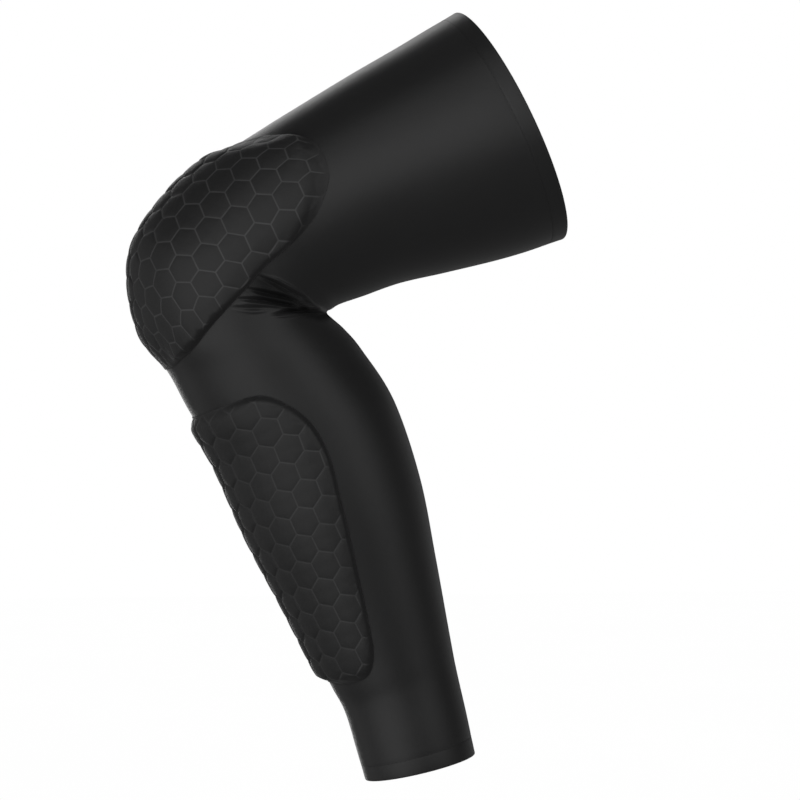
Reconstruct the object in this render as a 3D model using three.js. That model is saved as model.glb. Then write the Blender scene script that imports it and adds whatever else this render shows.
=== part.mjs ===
// Padded knee and shin sleeve: an elastic knit tube in the shape of the bent leg that it is worn on, with a
// celled foam pad over the knee cap, another down the shin, and a hem turned in at each mouth.
// Millimetres, +Z up. The knee points along -X, the leg's middle plane is Y = 0, and the origin is the middle
// of the knee.
import * as THREE from "three";

const CLOTH = 1.2; // thickness of the knit wall, and of a hem's turned-in layer
const GAP = 0.3; // clear space between two layers of cloth
const HEM_WIDTH = 11; // from a mouth's edge to its line of stitches

const CELL_SIDES = 6;
const CELL_WIDTH = 18.5; // across the flats of one foam cell
const CELL_TURN = (2 * Math.PI) / CELL_SIDES; // from one side of a cell to the next
const CELL_ROW = CELL_WIDTH * Math.sin(CELL_TURN); // from one row of cells to the next
const PAD_SEAT = 0.8; // height of a pad's underside above the cloth
const PAD_RIM = 1.6; // height of a pad's outer edge
const PAD_EDGE = 7; // breadth of the rounding inside that edge
const SLOPE_SIDES = [35, 65]; // out to the side, a pad's two slopes die away between these
const DRAWN_IN = [10, 70]; // between these distances from its first row, a stretched pad gets narrower
const PAD_GROOVE = 5.4; // height of the lines between cells
const PAD_CROWN = 7; // height of a cell's flat top
const TOP_SIZE = 0.66; // breadth of that top, as a share of the cell's
const SMALLEST_TOP = 0.3; // a cut cell with a smaller share of a whole cell's area has no flat top

const RING_POINTS = 28; // points around the wall
const OUTLINE_POINTS = 50; // points around a pad
const WALK_STEP = 3; // length of one step over the cloth
const NUDGE = 1e-3; // in sections or radians, for the slope of the cloth at a place
const GRID = 1000; // points of a pad are told apart to one part in this of a millimetre

const QUARTER_TURN = Math.PI / 2;
const FULL_TURN = 2 * Math.PI;

// Sections of the leg from the thigh mouth to the calf mouth: the front and back points in the middle plane,
// half the width, the share of the depth in front of the widest line, and the steps to the next section.
const SECTIONS = [
  { frontX: 148.5, frontZ: 162.5, backX: 223.5, backZ: 7.5, halfWidth: 81, belly: 0.5, steps: 1 },
  { frontX: 112.5, frontZ: 140, backX: 183.5, backZ: -5, halfWidth: 75, belly: 0.5, steps: 1 },
  { frontX: 76, frontZ: 118.5, backX: 143, backZ: -15, halfWidth: 69, belly: 0.5, steps: 1 },
  { frontX: 42, frontZ: 97.5, backX: 110.5, backZ: -22.5, halfWidth: 64.5, belly: 0.5, steps: 1 },
  { frontX: 15, frontZ: 80.5, backX: 85, backZ: -31.5, halfWidth: 61.5, belly: 0.5, steps: 2 },
  { frontX: -18.5, frontZ: 58, backX: 69, backZ: -37, halfWidth: 60, belly: 0.5, steps: 2 },
  { frontX: -46.5, frontZ: 31.5, backX: 63, backZ: -40.5, halfWidth: 59, belly: 0.5, steps: 5 },
  { frontX: -67, frontZ: -1, backX: 60, backZ: -42, halfWidth: 58.5, belly: 0.5, steps: 7 },
  { frontX: -67.5, frontZ: -35, backX: 60, backZ: -44, halfWidth: 58, belly: 0.5, steps: 5 },
  { frontX: -57, frontZ: -67.5, backX: 63.5, backZ: -47, halfWidth: 57.5, belly: 0.52, steps: 2 },
  { frontX: -44.5, frontZ: -88.5, backX: 72, backZ: -54.5, halfWidth: 57.5, belly: 0.53, steps: 2 },
  { frontX: -33, frontZ: -110, backX: 83.5, backZ: -68, halfWidth: 57, belly: 0.54, steps: 2 },
  { frontX: -12, frontZ: -143.5, backX: 105.5, backZ: -102, halfWidth: 56, belly: 0.55, steps: 2 },
  { frontX: 10.5, frontZ: -193.5, backX: 123.5, backZ: -154.5, halfWidth: 53, belly: 0.55, steps: 2 },
  { frontX: 36.5, frontZ: -242.5, backX: 134.5, backZ: -209, halfWidth: 47, belly: 0.54, steps: 2 },
  { frontX: 62.5, frontZ: -294, backX: 145, backZ: -265.5, halfWidth: 40, belly: 0.52, steps: 1 },
  { frontX: 74, frontZ: -316.5, backX: 150, backZ: -290, halfWidth: 37.5, belly: 0.51, steps: 2 },
  { frontX: 86.5, frontZ: -360.5, backX: 162.5, backZ: -342.5, halfWidth: 36.5, belly: 0.5, steps: 0 },
];
const LAST_SECTION = SECTIONS.length - 1;

// Gathers that run from the knee pad's edge to the crease behind the knee, alike on both sides. Each has the
// section number (at) and the degrees from the front (turn) of its start, middle and end, and its depth.
const GATHERS = [
  { at: [6.74, 6.78, 7.18], turn: [99, 113, 150], depth: 1.2 },
  { at: [7.32, 7.39, 7.52], turn: [97, 110, 150], depth: 1.7 },
  { at: [7.83, 7.73, 7.7], turn: [88, 104, 150], depth: 1.6 },
  { at: [8.09, 8, 7.85], turn: [85, 98, 118], depth: 1 },
  { at: [8.41, 8.09, 7.58], turn: [106, 127, 158], depth: 1.7 },
];
const GATHER_BREADTH = 2.4; // half breadth of a gather
const GATHER_SET_IN = 14; // degrees in which a gather gets its depth
const GATHER_DIE_AWAY = 16; // degrees in which it loses it
const DEEPEST_GATHER = 3; // where gathers run together, they come close to this depth

// Pads: the section number of the centre, the breadth of the slopes where the top and the bottom edge cross
// the front, how the flat pad is stretched over the bent leg, and half of its outline while flat, in
// millimetres from the first row of cells, up towards the thigh and out to the side. Stretching sets the
// first row at a distance from the centre, scales the pad along the leg and across it, and makes it narrower
// downwards and towards its ends. Its rows bow, and those further up fan out.
const PADS = [
  {
    name: "knee_pad",
    centre: 6.75,
    topSlope: 28,
    bottomSlope: 30,
    stretch: {
      firstRow: 25,
      along: 0.95,
      across: 1,
      taper: 0.0012,
      drawIn: 0.12,
      bow: -1e-3,
      fan: 2.35e-5,
    },
    outline: [
      { up: 68, side: 0 },
      { up: 83, side: 33 },
      { up: 92, side: 56 },
      { up: 91, side: 73 },
      { up: 82, side: 91 },
      { up: 68, side: 108 },
      { up: 48, side: 116 },
      { up: 9, side: 107 },
      { up: -50, side: 101 },
      { up: -81, side: 82 },
      { up: -103, side: 58 },
      { up: -120, side: 30 },
      { up: -125, side: 0 },
    ],
  },
  {
    name: "shin_pad",
    centre: 13.2,
    topSlope: 7,
    bottomSlope: 7,
    stretch: {
      firstRow: 41,
      along: 1.02,
      across: 0.935,
      taper: 0.001,
      drawIn: 0,
      bow: 0,
      fan: 0,
    },
    outline: [
      { up: 59, side: 0 },
      { up: 59, side: 40 },
      { up: 55, side: 69 },
      { up: 41, side: 84 },
      { up: 24, side: 94 },
      { up: 0, side: 98 },
      { up: -31, side: 94 },
      { up: -71, side: 85 },
      { up: -109, side: 74 },
      { up: -133, side: 65 },
      { up: -143, side: 54 },
      { up: -144, side: 35 },
      { up: -139, side: 0 },
    ],
  },
];

// Finishes: black elastic knit with a slight sheen, its duller inner face, and the knit bonded over the foam.
const SLEEVE_KNIT = { color: 0x1c1c1e, roughness: 0.62, metalness: 0 };
const HEM_KNIT = { color: 0x171719, roughness: 0.72, metalness: 0 };
const PAD_COVER = { color: 0x202022, roughness: 0.68, metalness: 0 };

// A smooth curve through three measures of every section.
function throughSections(pick) {
  return new THREE.CatmullRomCurve3(SECTIONS.map(pick), false, "catmullrom");
}

const frontLine = throughSections((row) => new THREE.Vector3(row.frontX, 0, row.frontZ));
const backLine = throughSections((row) => new THREE.Vector3(row.backX, 0, row.backZ));
const girth = throughSections((row) => new THREE.Vector3(row.halfWidth, row.belly, 0));

// The leg's skin: at counts sections from the thigh mouth, and turn goes round from the front by way of -Y.
function skinPoint(at, turn) {
  const share = Math.min(Math.max(at / LAST_SECTION, 0), 1);
  const { x: halfWidth, y: belly } = girth.getPoint(share);
  const reach = Math.cos(turn) > 0 ? belly : 1 - belly;
  const point = frontLine.getPoint(share).lerp(backLine.getPoint(share), belly - reach * Math.cos(turn));
  point.y = -halfWidth * Math.sin(turn);
  return point;
}

// How the skin runs along the leg and around it at a place, and the way out from it.
function slopes({ at, turn }) {
  const low = Math.max(at - NUDGE, 0);
  const high = Math.min(at + NUDGE, LAST_SECTION);
  const along = skinPoint(high, turn).sub(skinPoint(low, turn)).divideScalar(high - low);
  const around = skinPoint(at, turn + NUDGE).sub(skinPoint(at, turn - NUDGE)).divideScalar(2 * NUDGE);
  const outward = along.clone().cross(around).normalize();
  return { along, around, outward };
}

// A point at a height above the skin.
function above(place, height) {
  return skinPoint(place.at, place.turn).addScaledVector(slopes(place).outward, height);
}

// The place that a short straight move over the skin leads to, with the skin's slope taken at another place.
function moved(place, move, slopePlace) {
  const { along, around } = slopes(slopePlace);
  const [aa, ab, bb] = [along.lengthSq(), along.dot(around), around.lengthSq()];
  const [a, b] = [along.dot(move), around.dot(move)];
  const area = aa * bb - ab * ab;
  return { at: place.at + (bb * a - ab * b) / area, turn: place.turn + (aa * b - ab * a) / area };
}

// The place reached from a point on the front line by going straight over the cloth, up towards the thigh
// and out to the side. This is how a flat pad wraps the leg.
function walk(start, { up, side }) {
  const steps = Math.ceil(Math.hypot(up, side) / WALK_STEP);
  let place = { at: start, turn: 0 };
  const { along, outward } = slopes(place);
  const upward = along.clone().negate().normalize();
  const sideways = outward.clone().cross(along).normalize();
  const move = upward.multiplyScalar(up).addScaledVector(sideways, side).divideScalar(Math.max(steps, 1));
  const length = move.length();
  for (let step = 0; step < steps; step += 1) {
    const halfway = moved(place, move.clone().multiplyScalar(0.5), place);
    move.projectOnPlane(slopes(halfway).outward).setLength(length);
    place = moved(place, move, halfway);
    move.projectOnPlane(slopes(place).outward).setLength(length);
  }
  return place;
}

// The parabola through three points, read at x.
function parabola([x0, x1, x2], [y0, y1, y2], x) {
  const first = (y0 * (x - x1) * (x - x2)) / ((x0 - x1) * (x0 - x2));
  const second = (y1 * (x - x0) * (x - x2)) / ((x1 - x0) * (x1 - x2));
  const third = (y2 * (x - x0) * (x - x1)) / ((x2 - x0) * (x2 - x1));
  return first + second + third;
}

// How far the gathers draw the cloth in at a place.
function gatherDepth(place) {
  const degrees = THREE.MathUtils.radToDeg(Math.min(place.turn, FULL_TURN - place.turn));
  const spacing = slopes(place).along.length();
  let depth = 0;
  for (const gather of GATHERS) {
    const [start, , end] = gather.turn;
    const setIn = THREE.MathUtils.smoothstep(degrees, start, start + GATHER_SET_IN);
    const dieAway = 1 - THREE.MathUtils.smoothstep(degrees, end - GATHER_DIE_AWAY, end);
    const offset = ((place.at - parabola(gather.turn, gather.at, degrees)) * spacing) / GATHER_BREADTH;
    depth += gather.depth * setIn * dieAway * Math.exp(-offset * offset);
  }
  return DEEPEST_GATHER * Math.tanh(depth / DEEPEST_GATHER);
}

// A closed geometry from points and triangles.
function solid(points, triangles) {
  const geometry = new THREE.BufferGeometry();
  geometry.setFromPoints(points);
  geometry.setIndex(triangles);
  geometry.computeVertexNormals();
  return geometry;
}

// A tube of cloth between two heights, with a ring of points at each station and both ends open.
function tube(stations, outerHeight, innerHeight) {
  const points = [];
  const triangles = [];
  for (const height of [outerHeight, innerHeight]) {
    for (const at of stations) {
      for (let k = 0; k < RING_POINTS; k += 1) {
        const place = { at, turn: (FULL_TURN * k) / RING_POINTS };
        points.push(above(place, height - gatherDepth(place)));
      }
    }
  }
  const index = (layer, ring, k) => (layer * stations.length + ring) * RING_POINTS + (k % RING_POINTS);
  const quad = (a, b, c, d) => triangles.push(a, b, c, a, c, d);
  const lastRing = stations.length - 1;
  for (let k = 0; k < RING_POINTS; k += 1) {
    for (let ring = 0; ring < lastRing; ring += 1) {
      quad(index(0, ring, k), index(0, ring + 1, k), index(0, ring + 1, k + 1), index(0, ring, k + 1));
      quad(index(1, ring, k), index(1, ring, k + 1), index(1, ring + 1, k + 1), index(1, ring + 1, k));
    }
    quad(index(0, 0, k), index(0, 0, k + 1), index(1, 0, k + 1), index(1, 0, k));
    quad(index(0, lastRing, k), index(1, lastRing, k), index(1, lastRing, k + 1), index(0, lastRing, k + 1));
  }
  return solid(points, triangles);
}

// The section number where a hem that starts at one mouth has its line of stitches.
function hemLine(mouth, neighbour) {
  const spacing = skinPoint(mouth, QUARTER_TURN).distanceTo(skinPoint(neighbour, QUARTER_TURN));
  return mouth + ((neighbour - mouth) * HEM_WIDTH) / spacing;
}

// The closed outline of a pad: a smooth curve through its half outline and the mirror image.
function padOutline(halfOutline) {
  const near = halfOutline.map(({ up, side }) => new THREE.Vector3(up, side, 0));
  const far = near.slice(1, -1).reverse().map(({ x, y }) => new THREE.Vector3(x, -y, 0));
  const curve = new THREE.CatmullRomCurve3([...near, ...far], true);
  return curve.getPoints(OUTLINE_POINTS).slice(0, -1).map(({ x, y }) => ({ up: x, side: y }));
}

// The centres of the cells that can reach into a pad: rows across the leg, every other one half a cell aside.
function cellCentres(outline) {
  const reach = Math.max(...outline.map(({ up, side }) => Math.max(Math.abs(up), Math.abs(side))));
  const count = Math.ceil(reach / CELL_ROW) + 1;
  const centres = [];
  for (let row = -count; row <= count; row += 1) {
    const aside = row % 2 === 0 ? 0.5 : 0;
    for (let column = -count; column <= count; column += 1) {
      centres.push({ up: row * CELL_ROW, side: (column + aside) * CELL_WIDTH });
    }
  }
  return centres;
}

// Where a point of a flat pad lies over the cloth once the pad is stretched, from the pad's centre.
function stretched({ up, side }, { firstRow, along, across, taper, drawIn, bow, fan }) {
  const narrower = drawIn * THREE.MathUtils.smoothstep(Math.abs(up), ...DRAWN_IN);
  return {
    up: firstRow + along * up + (bow + fan * up) * side ** 2,
    side: (across + taper * up - narrower) * side,
  };
}

// The part of an outline that lies within half a cell width of a cell's centre, square to each of its sides.
function clipToCell(outline, centre) {
  let polygon = outline;
  for (let k = 0; k < CELL_SIDES; k += 1) {
    const [acrossUp, acrossSide] = [Math.sin(k * CELL_TURN), Math.cos(k * CELL_TURN)];
    const inside = ({ up, side }) =>
      CELL_WIDTH / 2 - (up - centre.up) * acrossUp - (side - centre.side) * acrossSide;
    polygon = polygon.flatMap((point, n) => {
      const next = polygon[(n + 1) % polygon.length];
      const [here, there] = [inside(point), inside(next)];
      const kept = here >= 0 ? [point] : [];
      if (here * there < 0) {
        const share = here / (here - there);
        const up = point.up + share * (next.up - point.up);
        const side = point.side + share * (next.side - point.side);
        kept.push({ up, side });
      }
      return kept;
    });
  }
  const snap = (length) => Math.round(length * GRID);
  const snapped = polygon.map(({ up, side }) => ({ up: snap(up), side: snap(side) }));
  const key = ({ up, side }) => `${up},${side}`;
  const distinct = snapped.filter((point, n) => key(point) !== key(snapped[(n + 1) % snapped.length]));
  return distinct.map(({ up, side }) => ({ up: up / GRID, side: side / GRID, key: key({ up, side }) }));
}

// The mean point of a flat polygon.
function middleOf(polygon) {
  const sum = polygon.reduce((a, b) => ({ up: a.up + b.up, side: a.side + b.side }));
  return { up: sum.up / polygon.length, side: sum.side / polygon.length };
}

// The area of a flat polygon.
function areaOf(polygon) {
  return Math.abs(THREE.ShapeUtils.area(polygon.map(({ up, side }) => new THREE.Vector2(up, side))));
}

// How far a point lies inside an outline.
function insetOf(point, outline) {
  const flat = ({ up, side }) => new THREE.Vector3(up, side, 0);
  const here = flat(point);
  const distances = outline.map((corner, n) => {
    const edge = new THREE.Line3(flat(corner), flat(outline[(n + 1) % outline.length]));
    return edge.closestPointToPoint(here, true, new THREE.Vector3()).distanceTo(here);
  });
  return Math.min(...distances);
}

// How thick a pad is at a point, as a share of its full thickness: it is rounded down all along the outline,
// and slopes more gently where the top and the bottom edge cross the front.
function fullness(point, outline, { topSlope, bottomSlope }) {
  const { smoothstep } = THREE.MathUtils;
  const inset = insetOf(point, outline);
  const roundness = Math.sqrt(1 - (1 - Math.min(inset / PAD_EDGE, 1)) ** 2);
  const atFront = 1 - smoothstep(Math.abs(point.side), ...SLOPE_SIDES);
  const slope = smoothstep(inset, 0, point.up > 0 ? topSlope : bottomSlope);
  return roundness * (1 - atFront * (1 - slope));
}

// A foam pad: flat-topped cells between grooves, rounded down to a low rim all along the outline.
function pad({ centre, stretch, outline: halfOutline, ...slopeBreadths }) {
  const outline = padOutline(halfOutline);
  const clipped = cellCentres(outline).map((cell) => clipToCell(outline, cell));
  const cells = clipped.filter((polygon) => polygon.length > 2);
  const smallestTop = SMALLEST_TOP * CELL_WIDTH * CELL_ROW;

  const points = [];
  const triangles = [];
  const corners = new Map();
  const edges = new Map();

  // The place on the leg of a point of the flat pad.
  const placeOf = (point) => walk(centre, stretched(point, stretch));

  // Adds the top point over a place, at a height that the rounded edge lowers near the outline.
  function putTop(point, place, height) {
    const share = fullness(point, outline, slopeBreadths);
    return points.push(above(place, PAD_RIM + (height - PAD_RIM) * share)) - 1;
  }

  // Adds the point of the underside at a place.
  function putUnder(place) {
    return points.push(above(place, PAD_SEAT)) - 1;
  }

  // A corner of a cell, which its neighbours share.
  function corner(point) {
    if (!corners.has(point.key)) {
      const place = placeOf(point);
      corners.set(point.key, { top: putTop(point, place, PAD_GROOVE), under: putUnder(place) });
    }
    return corners.get(point.key);
  }

  for (const cell of cells) {
    const ring = cell.map(corner);
    const middle = middleOf(cell);
    const middlePlace = placeOf(middle);
    const under = putUnder(middlePlace);
    const raised = areaOf(cell) > smallestTop;
    const inner = cell.map(({ up, side }) => ({
      up: middle.up + (up - middle.up) * TOP_SIZE,
      side: middle.side + (side - middle.side) * TOP_SIZE,
    }));
    const top = raised
      ? inner.map((point) => putTop(point, placeOf(point), PAD_CROWN))
      : new Array(cell.length).fill(putTop(middle, middlePlace, PAD_GROOVE));
    ring.forEach((here, n) => {
      const next = (n + 1) % ring.length;
      triangles.push(here.top, top[n], ring[next].top);
      triangles.push(here.under, ring[next].under, under);
      if (raised) {
        triangles.push(ring[next].top, top[n], top[next]);
      }
      if (raised && n > 0 && next > 0) {
        triangles.push(top[0], top[next], top[n]);
      }
      edges.set(`${cell[n].key} ${cell[next].key}`, [here, ring[next]]);
    });
  }

  for (const [key, [from, to]] of edges) {
    const onRim = !edges.has(key.split(" ").reverse().join(" "));
    if (onRim) {
      triangles.push(from.top, to.top, to.under, from.top, to.under, from.under);
    }
  }
  return solid(points, triangles);
}

// The stations of the whole wall: the steps of every section, and the two lines of stitches.
const thighLine = hemLine(0, 1);
const calfLine = hemLine(LAST_SECTION, LAST_SECTION - 1);
const stations = [thighLine, calfLine, LAST_SECTION];
SECTIONS.forEach(({ steps }, row) => {
  for (let step = 0; step < steps; step += 1) {
    stations.push(row + step / steps);
  }
});
stations.sort((a, b) => a - b);

const guard = new THREE.Group();

// Adds a named piece with a material of its own.
function addPiece(name, geometry, finish) {
  const piece = new THREE.Mesh(geometry, new THREE.MeshStandardMaterial(finish));
  piece.name = name;
  guard.add(piece);
}

// The turned-in layer of a hem lies a gap inside the wall.
const hemOuter = -CLOTH - GAP;
const hemInner = hemOuter - CLOTH;

addPiece("sleeve", tube(stations, 0, -CLOTH), SLEEVE_KNIT);
addPiece("thigh_hem", tube([0, thighLine], hemOuter, hemInner), HEM_KNIT);
addPiece("calf_hem", tube([calfLine, LAST_SECTION], hemOuter, hemInner), HEM_KNIT);
for (const shape of PADS) {
  addPiece(shape.name, pad(shape), PAD_COVER);
}

export default guard;
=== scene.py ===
import math

import bpy
import numpy as np
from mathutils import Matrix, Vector


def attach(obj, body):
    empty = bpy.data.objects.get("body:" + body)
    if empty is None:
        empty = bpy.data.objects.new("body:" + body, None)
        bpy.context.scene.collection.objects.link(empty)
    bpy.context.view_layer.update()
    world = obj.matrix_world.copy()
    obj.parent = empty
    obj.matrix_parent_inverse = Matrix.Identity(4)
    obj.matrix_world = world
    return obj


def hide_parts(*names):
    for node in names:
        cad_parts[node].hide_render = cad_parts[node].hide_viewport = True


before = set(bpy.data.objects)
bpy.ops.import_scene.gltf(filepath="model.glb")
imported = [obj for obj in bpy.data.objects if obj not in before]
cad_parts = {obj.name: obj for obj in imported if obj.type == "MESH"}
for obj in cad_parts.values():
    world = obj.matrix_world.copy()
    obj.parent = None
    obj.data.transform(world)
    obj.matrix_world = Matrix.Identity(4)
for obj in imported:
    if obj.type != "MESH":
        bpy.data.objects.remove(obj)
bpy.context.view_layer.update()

# The sleeve: one tube of black elastic knit from mid thigh to above the ankle, about 1.2 mm thick. It is cut
# narrow and worn stretched, so it takes the shape of the bent leg, is drawn in along gathers behind the knee,
# and is folded over inwards at both mouths.

# Sections from the thigh mouth to the calf mouth, in millimetres: front x and z, back x and z, half the
# width, and the share of the depth that lies in front of the widest line.
LEG_SECTIONS = np.array([
    (148.5, 162.5, 223.5, 7.5, 81.0, 0.50),
    (112.5, 140.0, 183.5, -5.0, 75.0, 0.50),
    (76.0, 118.5, 143.0, -15.0, 69.0, 0.50),
    (42.0, 97.5, 110.5, -22.5, 64.5, 0.50),
    (15.0, 80.5, 85.0, -31.5, 61.5, 0.50),
    (-18.5, 58.0, 69.0, -37.0, 60.0, 0.50),
    (-46.5, 31.5, 63.0, -40.5, 59.0, 0.50),
    (-67.0, -1.0, 60.0, -42.0, 58.5, 0.50),
    (-67.5, -35.0, 60.0, -44.0, 58.0, 0.50),
    (-57.0, -67.5, 63.5, -47.0, 57.5, 0.52),
    (-44.5, -88.5, 72.0, -54.5, 57.5, 0.53),
    (-33.0, -110.0, 83.5, -68.0, 57.0, 0.54),
    (-12.0, -143.5, 105.5, -102.0, 56.0, 0.55),
    (10.5, -193.5, 123.5, -154.5, 53.0, 0.55),
    (36.5, -242.5, 134.5, -209.0, 47.0, 0.54),
    (62.5, -294.0, 145.0, -265.5, 40.0, 0.52),
    (74.0, -316.5, 150.0, -290.0, 37.5, 0.51),
    (86.5, -360.5, 162.5, -342.5, 36.5, 0.50),
])
MILLIMETRES = 1000  # in a metre
LEG_SECTIONS[:, :5] /= MILLIMETRES
CALF_MOUTH = len(LEG_SECTIONS) - 1
THIGH_MOUTH = 0

CLOTH = 0.0012  # thickness of the knit, in metres as all sizes below
MOUTH_FOLD = 0.0008  # radius of the fold at a mouth's edge
FOLD_POINTS = 9
MOUTH_LIP = 0.003  # length of the fold's thick lip
MOUTH_GRIP = 0.0006  # how far a mouth draws in
MOUTH_GRIP_REACH = 0.03
HEM_WIDTH = 0.011  # from a mouth's edge to its line of stitches
STITCH_DIP = 0.00015  # how far the stitches pull the cloth in
STITCH_DIP_REACH = 0.0011
DIP_RINGS = np.array([-1.6, -0.8, 0, 0.8, 1.6])  # of the mesh, in reaches from the line of stitches

SLEEVE_COLUMNS = 192
PLAIN_STEP = 1 / 10  # of a section, from one ring of the mesh to the next
GATHER_STEP = 1 / 46  # the same among the gathers
GATHER_ZONE = (6.2, 9)  # section numbers between which the gathers lie
LAST_RING = 16.95
INNER_FIRST = 2  # the first plain ring that the inner wall has too
INNER_SPARING = 4  # it has one plain ring for so many of the outer wall's
UV_GIRTH = 0.4  # girth that the knit's columns are spread over
SHARP_ANGLE = math.radians(50)

# Gathers behind the knee: section number and degrees from the front at the start, middle and end of each, and
# its depth.
GATHERS = [
    ((6.78, 6.81, 7.26), (95, 112, 142), 0.0018),
    ((7.37, 7.36, 7.36), (90, 111, 145), 0.0021),
    ((7.83, 7.73, 7.77), (84, 105, 138), 0.0020),
    ((8.09, 8.10, 7.96), (80, 94, 110), 0.0012),
    ((8.43, 8.01, 7.66), (103, 131, 156), 0.0028),
]
GATHER_BREADTH = 0.0013  # of a valley
GATHER_TIP = 0.55  # share of that breadth where a gather begins
GATHER_ROUNDING = 1.5  # 1 is a sharp valley and 2 a round one
RIDGE_HEIGHT = 0.5  # of the raised folds beside a valley, as a share of its depth
RIDGE_PLACE = 2.1  # from the valley's line, in its breadths
RIDGE_BREADTH = 0.9
GATHER_SET_IN = 14  # degrees in which a gather gets its depth
GATHER_DIE_AWAY = 16  # degrees in which it loses it
DEEPEST_GATHER = 0.0042  # where gathers run together

# Painted shade in the hollow between the gathers, where the knit gets a darker colour and a duller gloss:
# section numbers along the middle of it at degrees from the front, its reach to either side in sections, and
# the degrees in which it begins.
SHADE_PLACES = (7.15, 7.4, 7.9, 8.4)
SHADE_TURNS = (95, 110, 125, 140)
SHADE_REACH = (0.25, 0.95)
SHADE_FROM = (87, 103)


def leg_measures(at):
    """The section table at any section number, on a smooth curve through its rows."""
    before = 2 * LEG_SECTIONS[0] - LEG_SECTIONS[1]
    after = 2 * LEG_SECTIONS[-1] - LEG_SECTIONS[-2]
    rows = np.vstack((before, LEG_SECTIONS, after))
    row = np.clip(np.floor(at).astype(int), THIGH_MOUTH, CALF_MOUTH - 1)
    t = (at - row)[..., None]
    a, b, c, d = (rows[row + k] for k in range(4))
    return b + t / 2 * (c - a + t * (2 * a - 5 * b + 4 * c - d + t * (3 * (b - c) + d - a)))


def skin(at, turn):
    """Points of the leg's skin. turn goes round from the front by way of the near side."""
    at, turn = np.broadcast_arrays(np.asarray(at, float), np.asarray(turn, float))
    front_x, front_z, back_x, back_z, half_width, belly = np.moveaxis(leg_measures(at), -1, 0)
    share = belly - np.where(np.cos(turn) > 0, belly, 1 - belly) * np.cos(turn)
    x = front_x + share * (back_x - front_x)
    z = front_z + share * (back_z - front_z)
    return np.stack((x, -half_width * np.sin(turn), z), axis=-1)


def skin_slopes(at, turn):
    """How the skin runs down the leg and round it, for a section and a radian, and the way out from it."""
    nudge = 1e-3
    down = (skin(at + nudge, turn) - skin(at - nudge, turn)) / (2 * nudge)
    around = (skin(at, turn + nudge) - skin(at, turn - nudge)) / (2 * nudge)
    outward = np.cross(down, around)
    return down, around, outward / np.linalg.norm(outward, axis=-1, keepdims=True)


def smooth_step(low, high, values):
    """A soft step from 0 at low to 1 at high."""
    t = np.clip((values - low) / (high - low), 0, 1)
    return t * t * (3 - 2 * t)


def from_front(turn):
    """Degrees from the front, alike on both sides."""
    return np.degrees(np.minimum(turn, 2 * math.pi - turn))


def gather_depth(at, turn):
    """How far the gathers draw the cloth in: sharp valleys between soft raised folds, alike on both sides."""
    degrees = from_front(turn)
    spacing = np.linalg.norm(skin_slopes(at, turn)[0], axis=-1)
    depth = np.zeros(np.shape(spacing))
    for places, turns, most in GATHERS:
        line = np.polyval(np.polyfit(turns, places, 2), degrees)
        share = smooth_step(turns[0], turns[0] + GATHER_SET_IN, degrees)
        share = share * (1 - smooth_step(turns[2] - GATHER_DIE_AWAY, turns[2], degrees))
        breadth = GATHER_BREADTH * (GATHER_TIP + (1 - GATHER_TIP) * share)
        offset = np.abs((at - line) * spacing) / breadth
        valley = np.exp(-offset ** GATHER_ROUNDING)
        ridge = RIDGE_HEIGHT * np.exp(-((offset - RIDGE_PLACE) / RIDGE_BREADTH) ** 2)
        depth += most * share * (valley - ridge)
    return DEEPEST_GATHER * np.tanh(depth / DEEPEST_GATHER)


def painted_shade_share(at, turn):
    """How much shade is painted into the hollow behind the knee, from 0 elsewhere to 1 in that hollow."""
    degrees = from_front(turn)
    offset = np.abs(at - np.interp(degrees, SHADE_TURNS, SHADE_PLACES))
    return smooth_step(*SHADE_FROM, degrees) * (1 - smooth_step(*SHADE_REACH, offset))


def section_spacing(mouth):
    """Distance along the leg's side from a mouth's section to the next one."""
    neighbour = THIGH_MOUTH + 1 if mouth == THIGH_MOUTH else CALF_MOUTH - 1
    return float(np.linalg.norm(skin(mouth, math.pi / 2) - skin(neighbour, math.pi / 2)))


def from_mouth(mouth, length):
    """The section number at a length inside a mouth's edge."""
    inwards = 1 if mouth == THIGH_MOUTH else -1
    return mouth + inwards * np.asarray(length) / section_spacing(mouth)


def hem_draw(at):
    """How far the cloth is drawn in near each mouth, by its elastic edge and by the line of stitches."""
    draw = np.zeros(np.shape(at))
    for mouth in (THIGH_MOUTH, CALF_MOUTH):
        length = np.abs(at - mouth) * section_spacing(mouth)
        draw += MOUTH_GRIP * (1 - smooth_step(0, MOUTH_GRIP_REACH, length))
        draw += STITCH_DIP * np.exp(-((length - HEM_WIDTH) / STITCH_DIP_REACH) ** 2)
    return draw


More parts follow.
